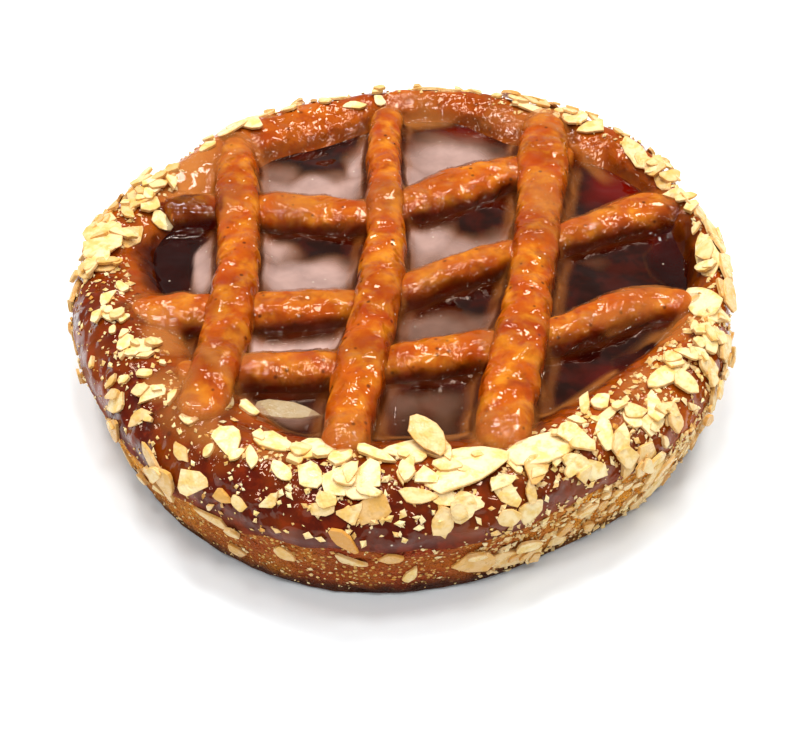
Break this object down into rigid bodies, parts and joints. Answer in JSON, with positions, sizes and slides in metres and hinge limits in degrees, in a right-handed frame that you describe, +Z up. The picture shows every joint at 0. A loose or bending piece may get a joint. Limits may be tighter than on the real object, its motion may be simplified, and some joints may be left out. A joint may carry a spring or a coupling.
{
  "type": "linzer tartlet",
  "caption": "Round glazed shortcrust tartlet with dark red jam under a pastry lattice and almond flakes on its rim.",
  "frame": {"origin": "middle of the tartlet's flat base, where it rests", "axes": "+Z up through the tartlet; +Y away from the picture's viewer, along the long strips; +X to the viewer's right, along the cross strips"},
  "size_m": [0.1196, 0.1196, 0.0251],
  "materials": {
    "glazed_crust": "baked shortcrust, glossy brown glaze on the rim and sandy crumb on the side",
    "red_jam": "glossy dark red jam",
    "glazed_strip": "baked pastry under a clear glaze"
  },
  "bodies": {
    "root": {"crust": "glazed_crust", "jam": "red_jam", "strip_cross_back": "glazed_strip", "strip_cross_mid": "glazed_strip", "strip_cross_front": "glazed_strip", "strip_long_left": "glazed_strip", "strip_long_mid": "glazed_strip", "strip_long_right": "glazed_strip"}
  },
  "joints": []
}
